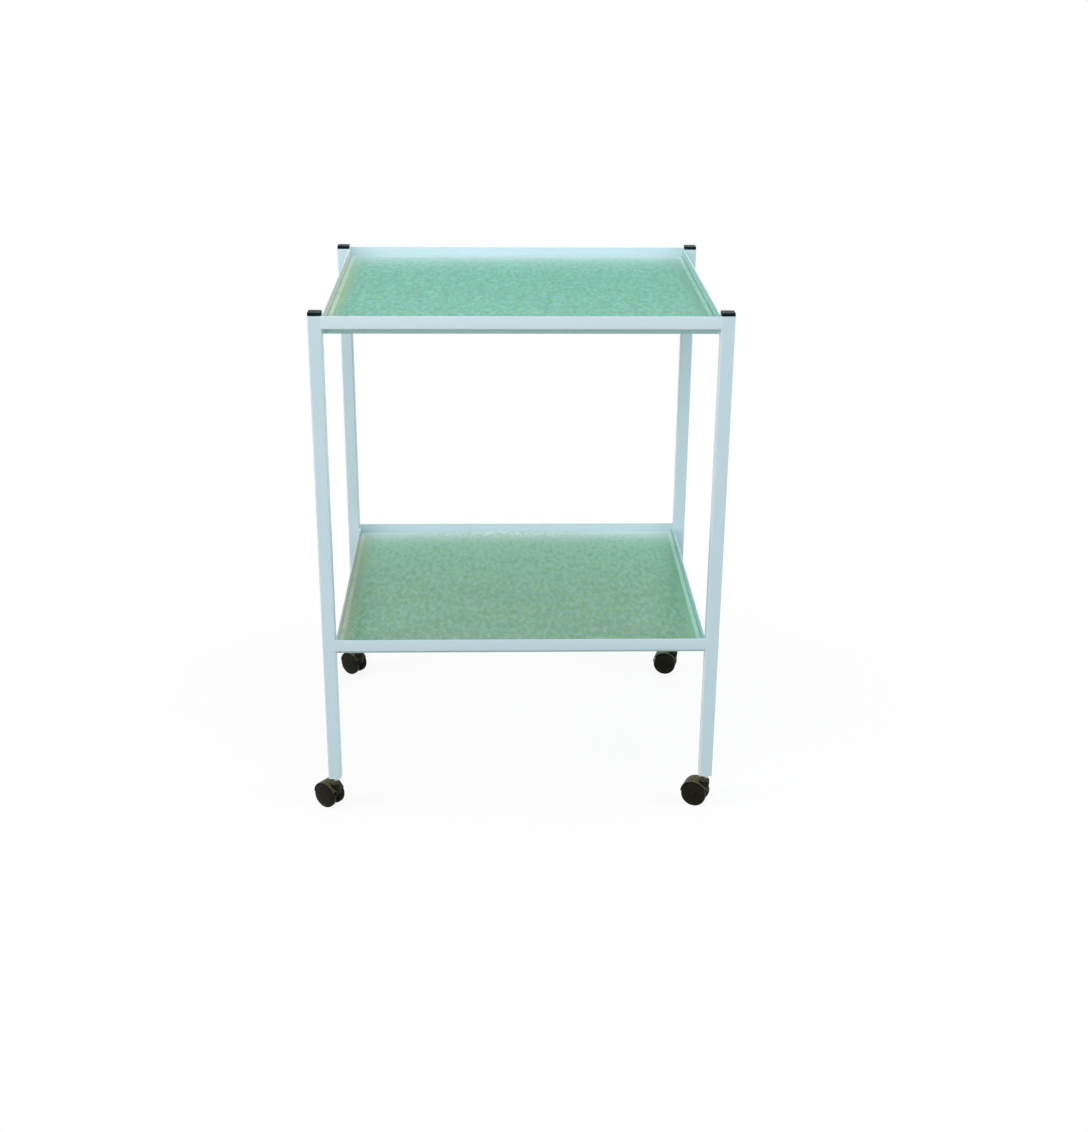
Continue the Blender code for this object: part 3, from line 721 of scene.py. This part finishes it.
def glass_mesh(level, seed):
    """A pane with a pebbled top, rounded corners, an arris all round and a plain underside."""
    low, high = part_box(f"{level}_glass_pane")
    tray_low, tray_high = tray_box(level)
    width = tray_high.x - tray_low.x - 2 * (SHEET + PANE_ROOM)
    depth = tray_high.y - tray_low.y - 2 * (SHEET + PANE_ROOM)
    middle = ((low.x + high.x) / 2, (low.y + high.y) / 2)
    columns, rows = round(width / GLASS_GRID), round(depth / GLASS_GRID)
    inner_width, inner_depth = width - 2 * GLASS_ARRIS, depth - 2 * GLASS_ARRIS
    radius = GLASS_CORNER_RADIUS - GLASS_ARRIS
    grid_x, grid_y = np.meshgrid(
        np.linspace(-inner_width / 2, inner_width / 2, columns + 1),
        np.linspace(-inner_depth / 2, inner_depth / 2, rows + 1),
    )
    over_x = np.abs(grid_x) - (inner_width / 2 - radius)
    over_y = np.abs(grid_y) - (inner_depth / 2 - radius)
    reach = np.hypot(over_x, over_y)
    outside = (over_x > 0) & (over_y > 0) & (reach > radius)
    pull = np.where(outside, radius / np.maximum(reach, 1e-9), 1.0)
    x = np.where(outside, np.sign(grid_x) * (inner_width / 2 - radius + over_x * pull), grid_x)
    y = np.where(outside, np.sign(grid_y) * (inner_depth / 2 - radius + over_y * pull), grid_y)
    rise, number = pebbles(x, y, seed)
    border = np.minimum(width / 2 - np.abs(x), depth / 2 - np.abs(y))
    fade = np.clip(border / PANE_SMOOTH_RIM, 0, 1)
    z = high.z - PEBBLE_DEPTH * (1 - rise * fade)
    from_side = width / 2 - np.abs(x)
    from_rear = depth / 2 - y
    # Masks of painted light: the white ledge seen through the glass at the sides, and a bright line along the
    # side edges
    ledge = np.clip((LEDGE_WIDTH - SHEET - from_side) / LEDGE_BLUR + 0.5, 0, 1)
    edge = np.clip((PAINTED_EDGE_LINE - from_side) / PAINTED_EDGE_LINE_BLUR + 0.5, 0, 1)
    # Masks of painted light: the rear rail's reflection in a strip along it, glints near it and the lighter
    # rear part
    behind = np.exp(-np.maximum(from_rear - PAINTED_REFLECTION_STRIP, 0) / PAINTED_REFLECTION_FADE[level])
    near_rail = np.clip((GLINT_REACH - from_rear) / GLINT_BLUR, 0, 1)
    glint = np.exp(-(((x - GLINT_MIDDLE) / GLINT_SPREAD) ** 2)) * near_rail * PAINTED_GLINT_STRENGTH[level]
    far = np.clip(1 - from_rear / PAINTED_REAR_LIGHT_REACH, 0, 1)
    across = np.clip(x / width + 0.5, 0, 1)

    bm = bmesh.new()
    keys = ("relief", "cell", "ledge", "behind", "across", "edge", "glint", "far")
    marks = [bm.verts.layers.float.new(key) for key in keys]
    values = np.stack([rise, number, ledge, behind, across, edge, glint, far], axis=-1)

    def point(px, py, pz, marked):
        vert = bm.verts.new((middle[0] + px, middle[1] + py, pz))
        for layer, value in zip(marks, marked):
            vert[layer] = float(value)
        return vert

    verts = [
        [point(x[j, i], y[j, i], z[j, i], values[j, i]) for i in range(columns + 1)]
        for j in range(rows + 1)
    ]
    for j in range(rows):
        for i in range(columns):
            bm.faces.new((verts[j][i], verts[j][i + 1], verts[j + 1][i + 1], verts[j + 1][i]))
    rim = (
        [(0, i) for i in range(columns)]
        + [(j, columns) for j in range(rows)]
        + [(rows, i) for i in range(columns, 0, -1)]
        + [(j, 0) for j in range(rows, 0, -1)]
    )

    def outset(j, i):
        px, py = x[j, i], y[j, i]
        cx = math.copysign(min(abs(px), inner_width / 2 - radius), px)
        cy = math.copysign(min(abs(py), inner_depth / 2 - radius), py)
        away = Vector((px - cx, py - cy))
        return away.normalized() * GLASS_ARRIS

    layers = [[verts[j][i] for j, i in rim]]
    for level_z, spread in ((high.z - PEBBLE_DEPTH - GLASS_ARRIS, 1), (low.z + GLASS_ARRIS, 1), (low.z, 0)):
        layer = []
        for j, i in rim:
            away = outset(j, i) * spread
            edge_values = (0.0, 0.5, ledge[j, i], behind[j, i], across[j, i], edge[j, i], 0.0, far[j, i])
            layer.append(point(x[j, i] + away.x, y[j, i] + away.y, level_z, edge_values))
        layers.append(layer)
    for near, far in zip(layers, layers[1:]):
        for k in range(len(near)):
            m = (k + 1) % len(near)
            bm.faces.new((near[k], far[k], far[m], near[m]))
    bm.faces.new(layers[-1])
    return finished(bm, f"{level}_patterned_glass", smooth=40)


# Caps
def cap_mesh(corner):
    """Moulded leg cap: soft edges, a slightly crowned top and a plug in the tube."""
    low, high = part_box(f"{corner}_leg_cap")
    leg_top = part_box(f"{corner}_leg")[1].z
    x, y = (low.x + high.x) / 2, (low.y + high.y) / 2
    side = high.x - low.x
    base = leg_top + CAP_GAP
    bend_level = high.z - CAP_CROWN - CAP_BEND
    rings = []

    def ring(width, radius, z):
        rings.append([(x + px, y + py, z) for px, py in rounded_rectangle(width, width, radius, 6)])

    ring(CAP_PLUG_SIDE, CAP_PLUG_CORNER, low.z)
    ring(CAP_PLUG_SIDE, CAP_PLUG_CORNER, base)
    ring(side - 0.0006, TUBE_CORNER_RADIUS - 0.0003, base)
    ring(side, TUBE_CORNER_RADIUS, base + 0.0003)
    for k in range(7):
        angle = math.pi / 2 * k / 6
        inset = CAP_BEND * (1 - math.cos(angle))
        ring(side - 2 * inset, TUBE_CORNER_RADIUS - 0.6 * inset, bend_level + CAP_BEND * math.sin(angle))
    for share, lift in CAP_CROWN_STEPS:
        width = (side - 2 * CAP_BEND) * share
        ring(width, 0.0014 * share, high.z - CAP_CROWN * (1 - lift))
    return ring_mesh(rings, f"{corner}_cap_moulding")


# Castors
def castor_body_mesh():
    """The moulded body about its own swivel: boss, hood over the wheels and middle web."""
    axle = (TRAIL, AXLE_LEVEL)
    boss = [
        (BOSS_FOOT_RADIUS, STEM_FOOT),
        (BOSS_RADIUS, BOSS_TOP - BOSS_STRAIGHT_HEIGHT),
        (BOSS_RADIUS, BOSS_TOP - BOSS_SHOULDER - EDGE_EASE),
        (BOSS_RADIUS - 0.0001, BOSS_TOP - BOSS_SHOULDER),
        (BOSS_RADIUS - 0.0005, BOSS_TOP - BOSS_SHOULDER + EDGE_EASE),
        (BOSS_TOP_RADIUS, BOSS_TOP - 0.0004),
        (BOSS_TOP_RADIUS - 0.0001, BOSS_TOP - 0.0001),
        (BOSS_TOP_RADIUS - 0.0004, BOSS_TOP),
    ]
    room_radius = HOOD_INNER_RADIUS + HOOD_JOIN_DEPTH
    room = along_y(turned([(room_radius, -0.02), (room_radius, 0.02)]), axle)
    edge = HOOD_EDGE_ROUND
    inner, outer, half = HOOD_INNER_RADIUS, HOOD_OUTER_RADIUS, HOOD_HALF

    def hood_section(thinned):
        crown = outer - HOOD_TIP_THINNING * thinned
        bend = edge * (1 - 0.5 * thinned)
        quarter = [math.pi / 8 * k for k in range(5)]
        section = [(inner, -half)]
        section += [(crown - bend + bend * math.sin(a), -half + bend - bend * math.cos(a)) for a in quarter]
        section += [(crown - bend + bend * math.cos(a), half - bend + bend * math.sin(a)) for a in quarter]
        return section + [(inner, half)]

    hood = []
    for k in range(HOOD_STEPS + 1):
        angle = HOOD_START + (HOOD_END - HOOD_START) * k / HOOD_STEPS
        c, s = math.cos(angle), math.sin(angle)
        thinned = max(0.0, (WEB_START - angle) / (WEB_START - HOOD_START)) ** 1.5
        hood.append([(axle[0] + r * c, y, axle[1] + r * s) for r, y in hood_section(thinned)])
    inside = outer - HOOD_JOIN_DEPTH
    front = -STEM_BORE_RADIUS - WEB_WALL
    web = arc(axle, AXLE_EYE_RADIUS, AXLE_EYE_START, 0, 12)
    web += arc(axle, inside, WEB_START, math.acos((front - axle[0]) / inside), 24)
    web.append((front, WEB_FRONT_FOOT))
    web_mesh = ring_mesh([[(px, y, pz) for px, pz in web] for y in (-WEB_HALF, WEB_HALF)], "web")
    bore = turned([(STEM_BORE_RADIUS, STEM_FOOT), (STEM_BORE_RADIUS, 0.07)], BORE_STEPS)
    pin = along_y(turned([(AXLE_BORE_RADIUS, -0.012), (AXLE_BORE_RADIUS, 0.012)], BORE_STEPS), axle)
    steps = [
        ("DIFFERENCE", ring_mesh(room, "room")),
        ("UNION", ring_mesh(hood, "hood")),
        ("UNION", web_mesh),
        ("DIFFERENCE", ring_mesh(bore, "bore")),
        ("DIFFERENCE", ring_mesh(pin, "pin")),
    ]
    return combine(ring_mesh(turned(boss), "boss"), steps, "castor_moulding")


def stem_mesh(corner):
    """The turned stem about its own axis, with fine turning on its tapered shoulder."""
    low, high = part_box(f"{corner}_castor_stem")
    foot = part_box(f"{corner}_leg")[0].z - SEAT_GAP
    x, y = (low.x + high.x) / 2, (low.y + high.y) / 2
    shoulder_foot = BOSS_TOP + SEAT_GAP
    profile = [
        (STEM_RADIUS - EDGE_EASE, low.z), (STEM_RADIUS, low.z + EDGE_EASE), (STEM_RADIUS, shoulder_foot),
        (STEM_SHOULDER_FOOT_RADIUS, shoulder_foot),
        (STEM_SHOULDER_RADIUS - 0.0001, foot - STEM_SHOULDER_RIM - 0.0002),
        (STEM_SHOULDER_RADIUS, foot - STEM_SHOULDER_RIM),
        (STEM_SHOULDER_RADIUS, foot - 0.0002), (STEM_SHOULDER_RADIUS - 0.0002, foot),
        (STEM_RADIUS, foot), (STEM_RADIUS, high.z - EDGE_EASE), (STEM_RADIUS - EDGE_EASE, high.z),
    ]
    rings = [[(x + px, y + py, z) for px, py, z in ring] for ring in turned(profile)]
    return ring_mesh(rings, f"{corner}_stem")


def wheel_mesh():
    """A moulded wheel on its +Y side: crowned disc with a hub cap and a groove by the rim, open inside."""
    out, inn, radius, rim = WHEEL_OUTER_FACE, WHEEL_INNER_FACE, WHEEL_RADIUS, WHEEL_RIM_ROUND
    rim_level = out - WHEEL_CROWN - rim
    profile = [
        (WHEEL_BORE_RADIUS, out - WHEEL_BORE_DEPTH),
        (WHEEL_BORE_RADIUS, inn),
        (WHEEL_HUB_RADIUS, inn),
        (WHEEL_HUB_RADIUS, WHEEL_DISC_INSIDE),
        (WHEEL_RIM_INSIDE, WHEEL_DISC_INSIDE),
        (WHEEL_RIM_INSIDE, inn),
        (radius - WHEEL_INNER_CHAMFER, inn),
        (radius, inn + WHEEL_INNER_CHAMFER),
        (radius, rim_level),
        *[(radius - rim + rim * math.cos(a), rim_level + rim * math.sin(a))
          for a in (math.pi / 12 * k for k in range(1, 7))],
        *[(face_radius, out - depth) for face_radius, depth in WHEEL_FACE],
    ]
    rings = along_y(turned(profile))
    return ring_mesh(rings, "wheel_moulding", smooth=50)


def joint(name):
    """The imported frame's entry for a joint."""
    return next(j for j in frame["joints"] if j["name"] == name)


def dress_castor(corner, body_mesh, wheel, plastic, tyre):
    """Put the body and both wheels of a castor where its joints are, turned as it trails."""
    swivel = Vector(joint(f"{corner}_swivel")["pos_m"])
    spin = joint(f"{corner}_left_wheel_spin")
    point, axis = Vector(spin["pos_m"]), Vector(spin["axis"])
    forward = Vector((axis.y, -axis.x, 0)).normalized()
    toward = Vector((point.x - swivel.x, point.y - swivel.y, 0))
    if forward.dot(toward) < 0:
        forward = -forward
    turn = math.atan2(forward.y, forward.x)
    mesh = placed(body_mesh, swivel.x, swivel.y, 0, turn)
    body, node = f"{corner}_castor", f"{corner}_castor_body"
    add_piece(f"{corner}_castor_moulding", mesh, plastic, body, [node])
    hub = swivel + forward * TRAIL
    for side, half_turn in (("right", 0), ("left", math.pi)):
        mesh = placed(wheel, hub.x, hub.y, AXLE_LEVEL, turn + half_turn)
        node = f"{corner}_{side}_wheel"
        add_piece(f"{node}_moulding", mesh, tyre, node, [node])


# Build
paint = frame_paint()
glass = {
    "upper": patterned_glass(
        "upper_glass",
        (linear(28, 178, 108), linear(28, 170, 160), linear(10, 174, 134), linear(74, 174, 158),
         linear(66, 196, 168), linear(20, 180, 148)),
        (linear(0, 140, 104), linear(96, 208, 186)),
        (linear(134, 198, 147), linear(47, 168, 134)),
        (linear(206, 238, 212), linear(174, 228, 210)),
        linear(226, 255, 255),
    ),
    # The lower pane is the same glass; its tints are lighter and yellower, painted light that lifts its shade
    # under the upper shelf
    "lower": patterned_glass(
        "lower_glass",
        (linear(120, 176, 122), linear(114, 170, 150), linear(106, 172, 132), linear(128, 170, 150),
         linear(134, 186, 160), linear(142, 212, 184)),
        (linear(98, 158, 122), linear(144, 198, 174)),
        (linear(174, 206, 168), linear(128, 198, 162)),
        (linear(214, 232, 212), linear(198, 240, 230)),
        linear(234, 255, 255),
    ),
}
cool_gloss, warm_gloss = (0.7, 0.95, 1.0, 1.0), (1.0, 0.98, 0.8, 1.0)
cap_black = moulded_plastic("cap_plastic", linear(6, 24, 28), linear(11, 34, 40), 0.45, 0.04, cool_gloss)
castor_black = moulded_plastic(
    "castor_plastic", linear(12, 12, 8), linear(24, 22, 13), 0.48, 0.12, warm_gloss, top_highlight=0.5
)
wheel_black = moulded_plastic("wheel_plastic", linear(9, 9, 6), linear(22, 20, 12), 0.46, 0.10, warm_gloss)
steel = bright_steel()

node_finish = {"frame_paint": paint, "green_glass": glass["upper"], "cap_plastic": cap_black,
               "castor_plastic": castor_black, "bright_steel": steel}
for part in frame["record"]["subparts"]:
    obj = frame["nodes"][part["node"]]
    obj.data.materials.clear()
    obj.data.materials.append(node_finish[part["material_slot"]])

for number, level in enumerate(LEVELS):
    rails = [f"{level}_{side}_rail" for side in SIDES]
    add_piece(f"{level}_tray_frame", tray_frame_mesh(level), paint, "frame", rails)
    add_piece(f"{level}_tray_welds", tray_welds_mesh(level), paint, "frame")
    pane = glass_mesh(level, seed=PANE_SEED + number)
    add_piece(f"{level}_patterned_glass", pane, glass[level], "frame", [f"{level}_glass_pane"])

castor_body = castor_body_mesh()
wheel = wheel_mesh()
for corner in CORNERS:
    cap, stem = f"{corner}_leg_cap", f"{corner}_castor_stem"
    add_piece(f"{corner}_cap_moulding", cap_mesh(corner), cap_black, "frame", [cap])
    add_piece(f"{corner}_stem_turning", stem_mesh(corner), steel, "frame", [stem])
    dress_castor(corner, castor_body, wheel, castor_black, wheel_black)


# Floor, light and camera
def seen_directly(n):
    """1 for what the camera sees straight, in a gloss or through glass, and 0 for the light on the object."""
    path = n.add("ShaderNodeLightPath")
    either = n.math("MAXIMUM", path.outputs["Is Camera Ray"], path.outputs["Is Glossy Ray"])
    return n.math("MAXIMUM", either, path.outputs["Is Transmission Ray"])


def floor_material():
    """White floor that keeps a soft shadow near the trolley and runs into the white backdrop further out."""
    n = Nodes("floor")
    seen = seen_directly(n)
    unseen_color = (FLOOR_LIGHTNESS, FLOOR_LIGHTNESS, FLOOR_LIGHTNESS, 1)
    n.set(Base_Color=n.mix(seen, unseen_color, (1, 1, 1, 1)), Roughness=1.0, Specular_IOR_Level=0.0)
    away = n.add("ShaderNodeVectorMath", {0: n.position()}, operation="LENGTH").outputs["Value"]
    veil = n.math("MULTIPLY", n.remap(away, FLOOR_VEIL_START, FLOOR_VEIL_END, FLOOR_VEIL, 1.0), seen)
    white = n.add("ShaderNodeEmission", {"Strength": 1.0}).outputs["Emission"]
    both = n.add("ShaderNodeMixShader", {0: veil, 1: n.shader.outputs["BSDF"], 2: white})
    n.tree.links.new(both.outputs[0], n.tree.nodes["Material Output"].inputs["Surface"])
    return n.material


floor_mesh = bpy.data.meshes.new("floor")
floor_corners = [(x * FLOOR_HALF, y * FLOOR_HALF, 0) for x, y in ((-1, -1), (1, -1), (1, 1), (-1, 1))]
floor_mesh.from_pydata(floor_corners, [], [(0, 1, 2, 3)])
floor_mesh.materials.append(floor_material())
floor = bpy.data.objects.new("floor", floor_mesh)
bpy.context.scene.collection.objects.link(floor)


def light_all_round():
    """A white world that is seen at full strength and lights the trolley gently."""
    studio = bpy.data.worlds.new("studio")
    bpy.context.scene.world = studio
    studio.use_nodes = True
    tree = studio.node_tree
    path = tree.nodes.new("ShaderNodeLightPath")
    either = tree.nodes.new("ShaderNodeMath")
    either.operation = "MAXIMUM"
    tree.links.new(path.outputs["Is Camera Ray"], either.inputs[0])
    tree.links.new(path.outputs["Is Glossy Ray"], either.inputs[1])
    every = tree.nodes.new("ShaderNodeMath")
    every.operation = "MAXIMUM"
    tree.links.new(either.outputs[0], every.inputs[0])
    tree.links.new(path.outputs["Is Transmission Ray"], every.inputs[1])
    strength = tree.nodes.new("ShaderNodeMapRange")
    tree.links.new(every.outputs[0], strength.inputs["Value"])
    strength.inputs["To Min"].default_value = ROUND_LIGHT
    strength.inputs["To Max"].default_value = 1.0
    background = tree.nodes["Background"]
    background.inputs["Color"].default_value = (1, 1, 1, 1)
    tree.links.new(strength.outputs["Result"], background.inputs["Strength"])


light_all_round()


def area_light(name, location, target, size, power, color):
    """A square lamp that faces its target."""
    data = bpy.data.lights.new(name, "AREA")
    data.shape = "SQUARE"
    data.size = size
    data.energy = power
    data.color = color
    obj = bpy.data.objects.new(name, data)
    bpy.context.scene.collection.objects.link(obj)
    obj.location = location
    obj.rotation_euler = (Vector(target) - Vector(location)).to_track_quat("-Z", "Y").to_euler()


for lamp in LAMPS:
    area_light(*lamp)

camera_data = bpy.data.cameras.new("camera")
camera_data.sensor_width = CAMERA_SENSOR
camera_data.lens = CAMERA_LENS
camera = bpy.data.objects.new("camera", camera_data)
bpy.context.scene.collection.objects.link(camera)
yaw, pitch, roll = (math.radians(v) for v in CAMERA_TURNS)
ahead = Vector((math.sin(yaw) * math.cos(pitch), math.cos(yaw) * math.cos(pitch), math.sin(pitch)))
right = Vector((math.cos(yaw), -math.sin(yaw), 0))
upward = right.cross(ahead)
right_rolled = math.cos(roll) * right + math.sin(roll) * upward
up_rolled = -math.sin(roll) * right + math.cos(roll) * upward
camera.matrix_world = Matrix((
    (right_rolled.x, up_rolled.x, -ahead.x, CAMERA_PLACE[0]),
    (right_rolled.y, up_rolled.y, -ahead.y, CAMERA_PLACE[1]),
    (right_rolled.z, up_rolled.z, -ahead.z, CAMERA_PLACE[2]),
    (0, 0, 0, 1),
))
bpy.context.scene.camera = camera
bpy.context.scene.view_settings.view_transform = "Standard"
